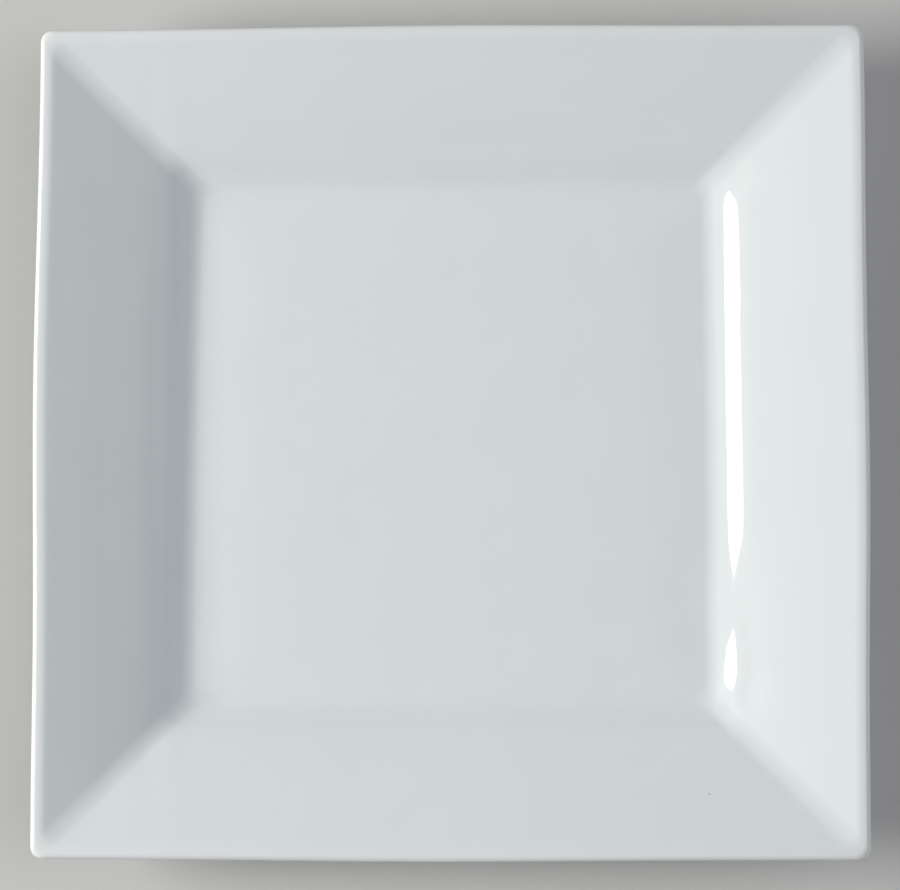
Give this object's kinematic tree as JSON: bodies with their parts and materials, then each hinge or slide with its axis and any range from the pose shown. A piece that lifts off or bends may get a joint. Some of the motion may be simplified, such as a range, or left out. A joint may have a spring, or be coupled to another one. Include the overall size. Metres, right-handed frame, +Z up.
{
  "type": "square dinner plate",
  "caption": "Square dinner plate of glazed porcelain with a flat well, a steep shoulder, a wide sloping rim with mitred corners and a low foot ring.",
  "frame": {"origin": "middle of the foot ring, on the table that the plate stands on", "axes": "+Z up, out of the well; X and Y along the plate's sides"},
  "size_m": [0.267, 0.267, 0.026],
  "materials": {
    "glazed_porcelain": "gloss"
  },
  "bodies": {
    "root": {"plate": "glazed_porcelain"}
  },
  "joints": []
}
